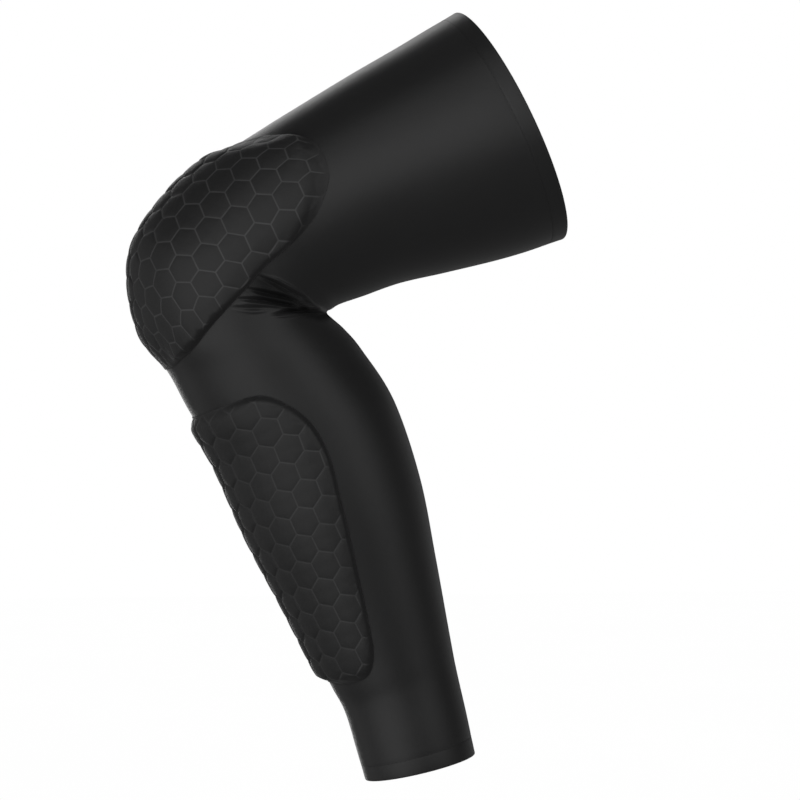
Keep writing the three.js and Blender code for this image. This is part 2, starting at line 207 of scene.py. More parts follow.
def ring_mesh(name, places, heights):
    """A closed mesh of rings round the leg, each at its section number and height, the last joined to the
    first. Its UV map is in metres, round the leg and along it. An attribute says how much shade is painted
    into the hollow behind the knee."""
    turns = np.linspace(0, 2 * math.pi, SLEEVE_COLUMNS, endpoint=False)
    at, turn = np.meshgrid(places, turns, indexing="ij")
    height = np.asarray(heights)[:, None] - gather_depth(at, turn) - hem_draw(at)
    points = skin(at, turn) + skin_slopes(at, turn)[2] * height[..., None]
    rows = len(places)
    row, column = np.meshgrid(np.arange(rows), np.arange(SLEEVE_COLUMNS), indexing="ij")
    next_row = (row + 1) % rows
    next_column = (column + 1) % SLEEVE_COLUMNS
    corners = np.stack((
        row * SLEEVE_COLUMNS + column,
        next_row * SLEEVE_COLUMNS + column,
        next_row * SLEEVE_COLUMNS + next_column,
        row * SLEEVE_COLUMNS + next_column,
    ), axis=-1)
    mesh = bpy.data.meshes.new(name)
    mesh.from_pydata(points.reshape(-1, 3).tolist(), [], corners.reshape(-1, 4).tolist())

    side = skin(np.asarray(places), math.pi / 2)
    steps = np.linalg.norm(np.diff(side, axis=0, append=side[:1]), axis=-1)
    length = np.concatenate(([0], np.cumsum(steps)))
    girth = UV_GIRTH * np.arange(SLEEVE_COLUMNS + 1) / SLEEVE_COLUMNS
    uv = np.stack((
        np.stack((girth[column], length[row]), axis=-1),
        np.stack((girth[column], length[row + 1]), axis=-1),
        np.stack((girth[column + 1], length[row + 1]), axis=-1),
        np.stack((girth[column + 1], length[row]), axis=-1),
    ), axis=2)
    mesh.uv_layers.new(name="knit").data.foreach_set("uv", uv.ravel())
    # This attribute carries the painted shade for the hollow behind the knee.
    painted_shade = mesh.attributes.new("painted_shade", "FLOAT", "POINT")
    painted_shade.data.foreach_set("value", painted_shade_share(at, turn).ravel())
    mesh.shade_smooth()
    mesh.set_sharp_from_angle(angle=SHARP_ANGLE)
    return mesh


def add_piece(name, mesh):
    """Puts a mesh into the scene as an object at the origin."""
    piece = bpy.data.objects.new(name, mesh)
    bpy.context.scene.collection.objects.link(piece)
    return piece


def fold_profile(mouth):
    """Section numbers and heights of a mouth's fold, from the outer wall round to the inner one."""
    angles = np.radians(np.linspace(90, 270, FOLD_POINTS))
    lengths = np.append(MOUTH_FOLD * (1 + np.cos(angles)), (MOUTH_LIP, MOUTH_LIP))
    heights = np.append(MOUTH_FOLD * (np.sin(angles) - 1), (-2 * MOUTH_FOLD, -CLOTH))
    return from_mouth(mouth, lengths), heights


thigh_places, thigh_heights = fold_profile(THIGH_MOUTH)
calf_places, calf_heights = fold_profile(CALF_MOUTH)
gather_places = np.arange(*GATHER_ZONE, GATHER_STEP)
stitch_places = HEM_WIDTH + STITCH_DIP_REACH * DIP_RINGS
plain_places = np.concatenate((
    np.arange(PLAIN_STEP, GATHER_ZONE[0], PLAIN_STEP),
    from_mouth(THIGH_MOUTH, stitch_places),
    np.arange(GATHER_ZONE[1], LAST_RING, PLAIN_STEP),
    from_mouth(CALF_MOUTH, stitch_places),
))
plain_places.sort()
wall_places = np.sort(np.concatenate((plain_places, gather_places)))
inner_places = np.sort(np.concatenate((plain_places[INNER_FIRST::INNER_SPARING], gather_places)))[::-1]
sleeve = add_piece("sleeve", ring_mesh(
    "sleeve",
    np.concatenate((wall_places, calf_places, inner_places, thigh_places[::-1])),
    np.concatenate((0 * wall_places, calf_heights, 0 * inner_places - CLOTH, thigh_heights[::-1])),
))


class Shade:
    """A socket of a finish's nodes. Operators between shades and numbers add Math nodes."""

    def __init__(self, tree, socket=None):
        self.tree = tree
        self.socket = socket

    def node(self, kind, settings=None, inputs=None, output=0):
        """Adds a node of any kind, sets its settings, and gives its sockets values or links."""
        made = self.tree.nodes.new(kind)
        for name, value in (settings or {}).items():
            setattr(made, name, value)
        for name, value in (inputs or {}).items():
            if isinstance(value, Shade):
                self.tree.links.new(value.socket, made.inputs[name])
            else:
                made.inputs[name].default_value = value
        return Shade(self.tree, made.outputs[output]) if made.outputs else None

    def other(self, output):
        """Another output of the same node."""
        return Shade(self.tree, self.socket.node.outputs[output])

    def maths(self, operation, *values):
        """A Math node on shades and numbers."""
        return self.node("ShaderNodeMath", {"operation": operation}, dict(enumerate(values)))

    def mixed(self, first, second):
        """Two colours mixed by this shade. A Mix node's sockets go by number, because their names repeat."""
        return self.node("ShaderNodeMix", {"data_type": "RGBA"}, {0: self, 6: first, 7: second}, 2)

    def stepped(self, low, high):
        """A soft step from 0 at low to 1 at high."""
        settings = {"interpolation_type": "SMOOTHSTEP"}
        return self.node("ShaderNodeMapRange", settings, {"Value": self, "From Min": low, "From Max": high})

    def fract(self):
        """What is over a whole number."""
        return self.maths("FRACT", self)

    def __abs__(self):
        return self.maths("ABSOLUTE", self)

    def __add__(self, other):
        return self.maths("ADD", self, other)

    __radd__ = __add__

    def __sub__(self, other):
        return self.maths("SUBTRACT", self, other)

    def __rsub__(self, other):
        return self.maths("SUBTRACT", other, self)

    def __mul__(self, other):
        return self.maths("MULTIPLY", self, other)

    __rmul__ = __mul__

    def __truediv__(self, other):
        return self.maths("DIVIDE", self, other)


WALE = 0.0009  # breadth of one column of loops
COURSE = 0.0007  # height of one loop
LOOP_FOOT = 0.4  # height where loops meet, as a share of their tops


def knit_relief(across, along):
    """Height of plain knit from 0 to 1: columns of loops, each loop two legs that lean together."""
    wale = across / WALE
    lean = abs(wale.fract() - 0.5)
    leg = abs((2 * wale).fract() - 0.5)
    bow = abs((along / COURSE + lean).fract() - 0.5)
    return (1 - 2 * leg * (2 * leg)) * (LOOP_FOOT + (1 - LOOP_FOOT) * 2 * bow)


def surface_places(shade, uv_map):
    """Metres across and along a surface from its UV map, and its Object coordinates."""
    uv = shade.node("ShaderNodeUVMap", {"uv_map": uv_map}, {}, "UV")
    across = shade.node("ShaderNodeSeparateXYZ", {}, {"Vector": uv}, "X")
    place = shade.node("ShaderNodeTexCoord", {}, {}, "Object")
    return across, across.other("Y"), place


def knit_colour(patches, relief, loops, black, worn_and_lit):
    """Black knit, paler in worn patches, with painted shade in the hollows between its loops and paler loop
    tops. The loops give a share of the tone.
    """
    return ((1 - loops) * patches + loops * relief).mixed(black, worn_and_lit)


CLOUD_ROUGHNESS = 0.55


def cloud(shade, coordinates, scale, detail):
    """Soft noise from 0 to 1 over Object coordinates."""
    inputs = {"Vector": coordinates, "Scale": scale, "Detail": detail, "Roughness": CLOUD_ROUGHNESS}
    return shade.node("ShaderNodeTexNoise", {}, inputs, "Fac")


def new_finish(name):
    """An empty node material, and a shade to build its nodes from."""
    material = bpy.data.materials.new(name)
    material.use_nodes = True
    material.node_tree.nodes.clear()
    return material, Shade(material.node_tree)


def principled(shade, colour, roughness, normal, constants):
    """A Principled shader. What varies is linked to it, and the rest is set on it."""
    inputs = {"Base Color": colour, "Roughness": roughness, "Normal": normal, **constants}
    return shade.node("ShaderNodeBsdfPrincipled", {}, inputs, "BSDF")


def lay_finish(shade, surface):
    """Ends a finish in a shader."""
    shade.node("ShaderNodeOutputMaterial", {}, {"Surface": surface})


SLEEVE_BLACK = (0.019, 0.019, 0.0193, 1)
SLEEVE_WORN_AND_LIT = (0.023, 0.023, 0.0233, 1)
# The darker black below, with its rougher and less reflective knit, is painted shade for the hollow behind
# the knee.
SHADED_BLACK = (0.013, 0.013, 0.0132, 1)
# The loops' share below is painted shade in the hollows between the knit's loops, with paler loop tops.
SLEEVE_LOOP_SHADE = 0.25
SATIN_ROUGHNESS = 0.31
SATIN_PATCHES = 0.06  # how much rougher the knit is in patches
SHADED_ROUGHER = 0.25
KNIT_CONSTANTS = {
    "Specular IOR Level": 0.45,
    "Sheen Weight": 0.12,
    "Sheen Roughness": 0.45,
}
SHADED_CONSTANTS = {"Specular IOR Level": 0.2}
KNIT_BUMP = {"Strength": 0.5, "Distance": 0.00004}

sleeve_knit, shade = new_finish("sleeve_knit")
across, along, place = surface_places(shade, "knit")
relief = knit_relief(across, along)
patches = cloud(shade, place, scale=24, detail=3)
colour = knit_colour(patches, relief, SLEEVE_LOOP_SHADE, SLEEVE_BLACK, SLEEVE_WORN_AND_LIT)
roughness = SATIN_ROUGHNESS + SATIN_PATCHES * patches
normal = shade.node("ShaderNodeBump", {}, {**KNIT_BUMP, "Height": relief}, "Normal")
satin = principled(shade, colour, roughness, normal, KNIT_CONSTANTS)
# Painted shade: a darker, duller knit mixed in over the hollow behind the knee.
shaded_knit = principled(shade, SHADED_BLACK, roughness + SHADED_ROUGHER, normal, SHADED_CONSTANTS)
painted_shade = shade.node("ShaderNodeAttribute", {"attribute_name": "painted_shade"}, {}, "Fac")
lay_finish(shade, shade.node("ShaderNodeMixShader", {}, {0: painted_shade, 1: satin, 2: shaded_knit}))
sleeve.data.materials.append(sleeve_knit)
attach(sleeve, "root")
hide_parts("sleeve")

# The hems: at each mouth the knit is turned in by 11 mm and its edge lies flat against the inside of the
# wall, where a line of stitches holds it. It shows the duller inner face of the same knit.
HEM_GAP = 0.0003  # between the wall and the hem's layer
HEM_CLEAR = 0.00015  # between the fold's lip and the hem's layer
HEM_RINGS = 9
HEM_BLACK = (0.018, 0.018, 0.0185, 1)
HEM_WORN_AND_LIT = (0.025, 0.025, 0.0255, 1)
# The loops' share below is painted shade in the hollows between the knit's loops, with paler loop tops.
HEM_LOOP_SHADE = 0.4
HEM_ROUGHNESS = 0.6
HEM_PATCHES = 0.12
HEM_BUMP = {"Strength": 0.6, "Distance": 0.00006}

hem_knit, shade = new_finish("hem_knit")
across, along, place = surface_places(shade, "knit")
relief = knit_relief(along, across)
patches = cloud(shade, place, scale=40, detail=3)
colour = knit_colour(patches, relief, HEM_LOOP_SHADE, HEM_BLACK, HEM_WORN_AND_LIT)
roughness = HEM_ROUGHNESS + HEM_PATCHES * patches
normal = shade.node("ShaderNodeBump", {}, {**HEM_BUMP, "Height": relief}, "Normal")
lay_finish(shade, principled(shade, colour, roughness, normal, KNIT_CONSTANTS))

for name, mouth in (("thigh_hem", THIGH_MOUTH), ("calf_hem", CALF_MOUTH)):
    lengths = np.linspace(MOUTH_LIP + HEM_CLEAR, HEM_WIDTH, HEM_RINGS)
    outer = 0 * lengths - CLOTH - HEM_GAP
    towards_calf = 1 if mouth == THIGH_MOUTH else -1
    lengths = np.concatenate((lengths[::towards_calf], lengths[::-towards_calf]))
    heights = np.concatenate((outer, outer - CLOTH))
    hem = add_piece(name, ring_mesh(name, from_mouth(mouth, lengths), heights))
    hem.data.materials.append(hem_knit)
    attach(hem, "root")
    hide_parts(name)

# The stitches: one row of short black thread stitches round each mouth, 11 mm from its edge, which sew the
# turned-in hem to the wall and pull the cloth in a little.
STITCH_PITCH = 0.0032
STITCH_LENGTH = 0.0025
THREAD = 0.00016  # radius
STITCH_SIDES = 6
STITCH_RINGS = 5
STITCH_LINE_POINTS = 240
THREAD_BLACK = (0.016, 0.016, 0.0165, 1)
THREAD_WORN = (0.03, 0.03, 0.0305, 1)
THREAD_ROUGHNESS = 0.5
THREAD_PLIES = 0.1  # how much rougher it is on its plies
THREAD_CONSTANTS = {"Specular IOR Level": 0.4}
THREAD_BUMP = {"Strength": 0.4, "Distance": 0.00003}
PLY_SCALE = 900

thread, shade = new_finish("thread")
place = shade.node("ShaderNodeTexCoord", {}, {}, "Object")
ply = shade.node("ShaderNodeTexWave", {}, {"Vector": place, "Scale": PLY_SCALE, "Distortion": 2}, "Fac")
colour = ply.mixed(THREAD_BLACK, THREAD_WORN)
normal = shade.node("ShaderNodeBump", {}, {**THREAD_BUMP, "Height": ply}, "Normal")
roughness = THREAD_ROUGHNESS + THREAD_PLIES * ply
lay_finish(shade, principled(shade, colour, roughness, normal, THREAD_CONSTANTS))


def stitch_tree():
    """Nodes that set stitches along the edges of a closed line and turn each to lie along it."""
    tree = bpy.data.node_groups.new("stitch_row", "GeometryNodeTree")
    face = tree.interface
    face.new_socket("Line", in_out="INPUT", socket_type="NodeSocketGeometry")
    for name in ("Pitch", "Length", "Thread"):
        face.new_socket(name, in_out="INPUT", socket_type="NodeSocketFloat")
    face.new_socket("Finish", in_out="INPUT", socket_type="NodeSocketMaterial")
    face.new_socket("Stitches", in_out="OUTPUT", socket_type="NodeSocketGeometry")

    def add(kind, settings=None, inputs=None):
        """Adds a node with its settings and its sockets' values or links, and gives its outputs."""
        node = tree.nodes.new(kind)
        for name, value in (settings or {}).items():
            setattr(node, name, value)
        for name, value in (inputs or {}).items():
            if isinstance(value, bpy.types.NodeSocket):
                tree.links.new(value, node.inputs[name])
            else:
                node.inputs[name].default_value = value
        return node.outputs

    given = add("NodeGroupInput")
    path = add("GeometryNodeMeshToCurve", {}, {"Mesh": given["Line"]})["Curve"]
    spacing = {"Curve": path, "Length": given["Pitch"]}
    spots = add("GeometryNodeResampleCurve", {"mode": "LENGTH"}, spacing)["Curve"]
    tangent = add("GeometryNodeInputTangent")["Tangent"]
    turned = add("FunctionNodeAlignEulerToVector", {"axis": "X"}, {"Vector": tangent})["Rotation"]
    half_length = add("ShaderNodeMath", {"operation": "DIVIDE"}, {0: given["Length"], 1: 2})["Value"]
    half_sizes = {"X": half_length, "Y": given["Thread"], "Z": given["Thread"]}
    size = add("ShaderNodeCombineXYZ", {}, half_sizes)["Vector"]
    roundness = {"Segments": STITCH_SIDES, "Rings": STITCH_RINGS, "Radius": 1}
    ball = add("GeometryNodeMeshUVSphere", {}, roundness)["Mesh"]
    stitch = add("GeometryNodeTransform", {}, {"Geometry": ball, "Scale": size})["Geometry"]
    sewing = {"Points": spots, "Instance": stitch, "Rotation": turned}
    row = add("GeometryNodeInstanceOnPoints", {}, sewing)["Instances"]
    real = add("GeometryNodeRealizeInstances", {}, {"Geometry": row})["Geometry"]
    smooth = add("GeometryNodeSetShadeSmooth", {}, {"Geometry": real})["Geometry"]
    sewn = add("GeometryNodeSetMaterial", {}, {"Geometry": smooth, "Material": given["Finish"]})["Geometry"]
    add("NodeGroupOutput", {}, {"Stitches": sewn})
    return tree


def node_mesh(line, tree, values):
    """Runs a Geometry Nodes tree on an object, and leaves the result in it as a plain mesh."""
    modifier = line.modifiers.new(tree.name, "NODES")
    modifier.node_group = tree
    for item in tree.interface.items_tree:
        if item.in_out == "INPUT" and item.name in values:
            modifier[item.identifier] = values[item.name]
    depsgraph = bpy.context.evaluated_depsgraph_get()
    mesh = bpy.data.meshes.new_from_object(line.evaluated_get(depsgraph))
    line.modifiers.remove(modifier)
    line.data = mesh
    return line


stitch_row = stitch_tree()
for name, mouth in (("thigh_stitches", THIGH_MOUTH), ("calf_stitches", CALF_MOUTH)):
    turns = np.linspace(0, 2 * math.pi, STITCH_LINE_POINTS, endpoint=False)
    at = np.full(len(turns), float(from_mouth(mouth, HEM_WIDTH)))
    height = THREAD / 2 - hem_draw(at)
    points = skin(at, turns) + skin_slopes(at, turns)[2] * height[:, None]
    mesh = bpy.data.meshes.new(name)
    mesh.from_pydata(points.tolist(), [(k, (k + 1) % len(turns)) for k in range(len(turns))], [])
    sizes = {"Pitch": STITCH_PITCH, "Length": STITCH_LENGTH, "Thread": THREAD, "Finish": thread}
    row = node_mesh(add_piece(name, mesh), stitch_row, sizes)
    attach(row, "root")

# The pads: a knee pad and a shin pad of hexagonal foam cells, each under one cover of black knit. The cover
# is bonded down along the lines between the cells and round the edge, and swollen over the cells by a cloth
# simulation. The whole is bonded to the front of the sleeve.

# Half outlines of the flat pads in millimetres from the first row of cells: up towards the thigh, and out to
# the side.
KNEE_OUTLINE = [
    (68, 0), (83, 33), (92, 56), (91, 73), (82, 91), (68, 108), (48, 116),
    (9, 107), (-50, 101), (-81, 82), (-103, 58), (-120, 30), (-125, 0),
]
SHIN_OUTLINE = [
    (59, 0), (59, 40), (55, 69), (41, 84), (24, 94), (0, 98), (-31, 94),
    (-71, 85), (-109, 74), (-133, 65), (-143, 54), (-144, 35), (-139, 0),
]
CELL = 0.0185  # across the flats
CELL_ROW = CELL * math.sqrt(3) / 2  # from one row of cells to the next
CELL_SIDES = 6
DRAWN_IN = (0.01, 0.07)  # distances along a pad over which it gets narrower

# Heights over the cloth, before swelling.
PAD_UNDER = 0.0004
PAD_RIM = 0.0006
PAD_GROOVE = 0.0060
PAD_CROWN = 0.0062
FRONT_GROOVE = 0.0051  # at the front the cells stand out more from their lines
FRONT_CROWN = 0.0068
FRONT_SIDES = (0.012, 0.04)  # distances aside over which those cells end

PAD_EDGE = 0.0028  # breadth of the steep edge
PAD_ROLL = 0.016  # breadth of the soft roll inside it
EDGE_SHARE = 0.84  # of the thickness that the steep edge gives
SLOPE_SIDES = (0.035, 0.065)  # distances aside over which the slopes at the front end
END_UP = (0.02, 0.06)  # distances up and aside over which the upper outer ends begin
END_SIDE = (0.05, 0.085)

CELL_RINGS = ((0.93, 0.6), (0.8, 0.9), (0.55, 1), (0.27, 1))  # sizes and rises, as shares of a cell's
OUTLINE_STEP = 0.0022  # longest edges of the mesh, along the outline and along the lines
CELL_STEP = 0.0025
STEP_ALLOWANCE = 0.01  # lets an edge be cut the same from either side
SAME_POINT = 1e6  # points that round to the same micrometre are one
WALK_STEPS = 36
TINY = 1e-12


def stretched(flat, stretch):
    """Where points of a flat pad lie over the cloth once it is stretched over the bent leg. Its first row
    comes to lie at a distance from the centre. It is scaled along the leg and across it, gets narrower
    downwards and towards its ends, and its rows bow and fan out."""
    first_row, along, across, taper, draw_in, bow, fan = stretch
    up, side = flat.T
    narrower = draw_in * smooth_step(*DRAWN_IN, np.abs(up))
    return np.stack((
        first_row + along * up + (bow + fan * up) * side ** 2,
        (across + taper * up - narrower) * side,
    ), axis=-1)


def moved(at, turn, move, slope_at, slope_turn):
    """The place that a short straight move leads to, with the skin's slope taken at another place."""
    down, around, _ = skin_slopes(slope_at, slope_turn)
    down_square = (down * down).sum(-1)
    crossing = (down * around).sum(-1)
    around_square = (around * around).sum(-1)
    move_down = (down * move).sum(-1)
    move_around = (around * move).sum(-1)
    area = down_square * around_square - crossing * crossing
    at_step = (around_square * move_down - crossing * move_around) / area
    turn_step = (down_square * move_around - crossing * move_down) / area
    return at + at_step, turn + turn_step


def along_skin(move, outward, length):
    """A move laid flat on the skin, at its own length."""
    flat = move - outward * (move * outward).sum(-1, keepdims=True)
    return flat * length / np.maximum(np.linalg.norm(flat, axis=-1, keepdims=True), TINY)


def walk(centre, flat):
    """The places reached from a point on the front line by going straight over the cloth, up and aside."""
    at = np.full(len(flat), float(centre))
    turn = np.zeros(len(flat))
    down, _, outward = skin_slopes(at, turn)
    upward = -down / np.linalg.norm(down, axis=-1, keepdims=True)
    sideways = np.cross(upward, outward)
    sideways = -sideways * np.sign(sideways[:, 1:2])
    move = (upward * flat[:, :1] + sideways * flat[:, 1:]) / WALK_STEPS
    length = np.linalg.norm(move, axis=-1, keepdims=True)
    for _ in range(WALK_STEPS):
        half_at, half_turn = moved(at, turn, move / 2, at, turn)
        move = along_skin(move, skin_slopes(half_at, half_turn)[2], length)
        at, turn = moved(at, turn, move, half_at, half_turn)
        move = along_skin(move, skin_slopes(at, turn)[2], length)
    return at, turn


def pad_outline(half_outline):
    """The closed outline of a pad in metres: a smooth curve through its half outline and the mirror image."""
    near = np.array(half_outline, float) / MILLIMETRES
    far = near[-2:0:-1] * (1, -1)
    knots = np.vstack((near, far))
    points = []
    for n in range(len(knots)):
        a, b, c, d = (knots[(n + k - 1) % len(knots)] for k in range(4))
        gaps = [math.sqrt(np.linalg.norm(q - p)) for p, q in ((a, b), (b, c), (c, d))]
        leave = (b - a) / gaps[0] - (c - a) / (gaps[0] + gaps[1]) + (c - b) / gaps[1]
        arrive = (c - b) / gaps[1] - (d - b) / (gaps[1] + gaps[2]) + (d - c) / gaps[2]
        leave = leave * gaps[1]
        arrive = arrive * gaps[1]
        count = math.ceil(np.linalg.norm(c - b) / OUTLINE_STEP)
        for t in np.arange(count) / count:
            bend = (-3 * b + 3 * c - 2 * leave - arrive) + t * (2 * b - 2 * c + leave + arrive)
            points.append(b + t * (leave + t * bend))
    return np.array(points)


def cell_centres(reach):
    """Centres of the cells: rows across the leg, every other one half a cell aside."""
    count = math.ceil(reach / CELL_ROW) + 1
    return [
        np.array((row * CELL_ROW, (column + (row + 1) % 2 / 2) * CELL))
        for row in range(-count, count + 1)
        for column in range(-count, count + 1)
    ]


def clip_to_cell(outline, centre):
    """The part of an outline that lies in the hexagon round a cell's centre."""
    polygon = list(outline)
    for angle in np.arange(CELL_SIDES) * 2 * math.pi / CELL_SIDES:
        across = np.array((math.sin(angle), math.cos(angle)))
        kept = []
        for point, after in zip(polygon, polygon[1:] + polygon[:1]):
            here = CELL / 2 - (point - centre) @ across
            there = CELL / 2 - (after - centre) @ across
            if here >= 0:
                kept.append(point)
            if here * there < 0:
                kept.append(point + (after - point) * here / (here - there))
        polygon = kept
    return polygon


def split_edges(polygon):
    """A polygon with its long edges cut into equal short ones, the same from either side."""
    points = []
    for point, after in zip(polygon, polygon[1:] + polygon[:1]):
        count = max(1, math.ceil(np.linalg.norm(after - point) / CELL_STEP - STEP_ALLOWANCE))
        points.extend(point + (after - point) * k / count for k in range(count))
    return points


def edge_distance(flat, outline):
    """How far points lie inside an outline."""
    nearest = np.full(len(flat), np.inf)
    for point, after in zip(outline, np.roll(outline, -1, axis=0)):
        along = after - point
        share = np.clip(((flat - point) @ along) / (along @ along), 0, 1)
        nearest = np.minimum(nearest, np.linalg.norm(flat - point - share[:, None] * along, axis=-1))
    return nearest


def fullness(flat, inset, front_slopes, end_edge):
    """How thick a pad is, as a share of its full thickness: a narrow edge and a soft roll inside it all along
    the outline, another edge at the upper outer ends, and slopes where top and bottom cross the front."""
    side = np.abs(flat[:, 1])
    at_end = smooth_step(*END_UP, flat[:, 0]) * smooth_step(*END_SIDE, side)
    edge = smooth_step(0, PAD_EDGE + (end_edge - PAD_EDGE) * at_end, inset)
    rise = EDGE_SHARE * edge + (1 - EDGE_SHARE) * smooth_step(0, PAD_ROLL, inset)
    at_front = 1 - smooth_step(*SLOPE_SIDES, side)
    slope = smooth_step(0, np.where(flat[:, 0] > 0, *front_slopes), inset)
    return rise * (1 - at_front * (1 - slope))


def cell_cover(outline):
    """A pad's flat cover: its points, how far each rises from the lines to the crowns as a share, its faces,
    and the point numbers round each cell with the cell's middle."""
    flat = []
    rises = []
    numbers = {}
    faces = []
    cells = []

    def put(point, rise):
        """Adds a point and gives its number. Neighbouring cells share the points on their lines."""
        key = tuple(np.round(point * SAME_POINT).astype(int))
        if rise == 0 and key in numbers:
            return numbers[key]
        number = len(flat)
        flat.append(point)
        rises.append(rise)
        if rise == 0:
            numbers[key] = number
        return number

    for cell in cell_centres(np.abs(outline).max()):
        polygon = clip_to_cell(outline, cell)
        if len(polygon) < 3:
            continue
        edge = split_edges(polygon)
        numbered = [put(point, 0) for point in edge]
        kept = [n for n in range(len(edge)) if numbered[n] != numbered[n - 1]]
        edge = [edge[n] for n in kept]
        ring = [numbered[n] for n in kept]
        if len(ring) < 3:
            continue
        middle = np.mean(edge, axis=0)
        cells.append((ring, middle))
        for scale, rise in CELL_RINGS:
            inner = [put(middle + (point - middle) * scale, rise) for point in edge]
            for n in range(len(ring)):
                after = (n + 1) % len(ring)
                faces.append((ring[n], inner[n], inner[after], ring[after]))
            ring = inner
        top = put(middle, 1)
        faces.extend((ring[n], top, ring[(n + 1) % len(ring)]) for n in range(len(ring)))
    return flat, rises, faces, cells


def pad_mesh(name, centre, stretch, front_slopes, end_edge, outline):
    """The cover of a pad and its underside, and the numbers of the vertices that are bonded down. The UV map
    is the flat pad in metres, and the inset attribute is the distance from its edge."""
    flat, rises, faces, cells = cell_cover(outline)
    count = len(flat)
    on_lines = np.flatnonzero(np.array(rises) == 0)
    below = dict(zip(on_lines.tolist(), range(count, count + len(on_lines))))
    flat = np.vstack((flat, np.array(flat)[on_lines], [middle for _, middle in cells]))
    rim = set()
    for number, (ring, _) in enumerate(cells, count + len(on_lines)):
        for here, after in zip(ring, ring[1:] + ring[:1]):
            faces.append((below[after], number, below[here]))
            rim.add((here, after))
    faces.extend(
        (after, here, below[here], below[after]) for here, after in sorted(rim) if (after, here) not in rim
    )

    at, turn = walk(centre, stretched(flat, stretch))
    inset = edge_distance(flat, outline)
    at_front = 1 - smooth_step(*FRONT_SIDES, np.abs(flat[:, 1]))
    groove = PAD_GROOVE + (FRONT_GROOVE - PAD_GROOVE) * at_front
    crown = PAD_CROWN + (FRONT_CROWN - PAD_CROWN) * at_front
    height = groove + (crown - groove) * np.append(rises, np.zeros(len(flat) - count))
    height = PAD_RIM + (height - PAD_RIM) * fullness(flat, inset, front_slopes, end_edge)
    height[count:] = PAD_UNDER
    points = skin(at, turn) + skin_slopes(at, turn)[2] * height[:, None]
    mesh = bpy.data.meshes.new(name)
    mesh.from_pydata(points.tolist(), [], faces)
    corners = np.zeros(len(mesh.loops), int)
    mesh.loops.foreach_get("vertex_index", corners)
    mesh.uv_layers.new(name="cells").data.foreach_set("uv", flat[corners][:, ::-1].ravel())
    mesh.attributes.new("inset", "FLOAT", "POINT").data.foreach_set("value", inset)
    mesh.shade_smooth()
    return mesh, np.concatenate((on_lines, np.arange(count, len(flat))))


SWELL_SCALE = 20
SWELL_FRAMES = 16
SWELL_PRESSURE = 1.2
SWELL_MOST = 0.003  # the furthest that a point may move


def swell(pad, held):
    """Swells a pad's cover between the places where it is held, with the cloth solver, and keeps the result.
    The shape is enlarged for the solver, because it is tuned for cloth of room size."""
    mesh = pad.data
    start = np.zeros(3 * len(mesh.vertices), np.float32)
    mesh.vertices.foreach_get("co", start)
    mesh.vertices.foreach_set("co", start * SWELL_SCALE)
    mesh.update()
    group = pad.vertex_groups.new(name="held")
    group.add(held.tolist(), 1, "REPLACE")
    cloth = pad.modifiers.new("swell", "CLOTH")
    cloth.settings.vertex_group_mass = "held"
    cloth.settings.use_pressure = True
    cloth.settings.uniform_pressure_force = SWELL_PRESSURE
    cloth.settings.effector_weights.gravity = 0
    cloth.collision_settings.use_collision = False
    cloth.point_cache.frame_end = SWELL_FRAMES
    for number in range(1, SWELL_FRAMES + 1):
        bpy.context.scene.frame_set(number)
    swollen = pad.evaluated_get(bpy.context.evaluated_depsgraph_get())
    end = np.zeros_like(start)
    swollen.data.vertices.foreach_get("co", end)
    pad.modifiers.remove(cloth)
    pad.vertex_groups.remove(group)
    bpy.context.scene.frame_set(1)
    move = (end / SWELL_SCALE - start).reshape(-1, 3)
    length = np.linalg.norm(move, axis=-1, keepdims=True)
    move *= np.minimum(1, SWELL_MOST / np.maximum(length, TINY))
    mesh.vertices.foreach_set("co", start + move.ravel())
    mesh.update()


def line_distance(side, up):
    """Distance to the nearest line between cells, over a pad's plan."""
    distances = []
    for aside, row in ((0.5, 0.0), (0.0, 0.5)):
        x = abs((side / CELL + aside).fract() - 0.5)
        y = abs((up / (2 * CELL_ROW) + row).fract() - 0.5) * (2 * CELL_ROW / CELL)
        distances.append(0.5 - x.maths("MAXIMUM", x, 0.5 * x + math.sqrt(0.75) * y))
    return CELL * side.maths("MAXIMUM", *distances)


PAD_BLACK = (0.017, 0.017, 0.0173, 1)
PAD_WORN_AND_LIT = (0.021, 0.021, 0.0213, 1)
PAD_LINE = (0.075, 0.075, 0.076, 1)
# The loops' share below is painted shade in the hollows between the knit's loops, with paler loop tops.
PAD_LOOP_SHADE = 0.3
PAD_ROUGHNESS = 0.44
PAD_PATCHES = 0.08
LINE_WEAR = (0.35, 0.95)  # least strength of a pale line, and what patches of wear add to it
LINE_BREADTH = (0.00025, 0.00075)  # distances from a line's middle over which it ends
EDGE_FADE = (0.001, 0.005)  # distances from the pad's edge over which lines begin
FRONT_FADE = (0.01, 0.06)  # distances aside over which they get their strength back


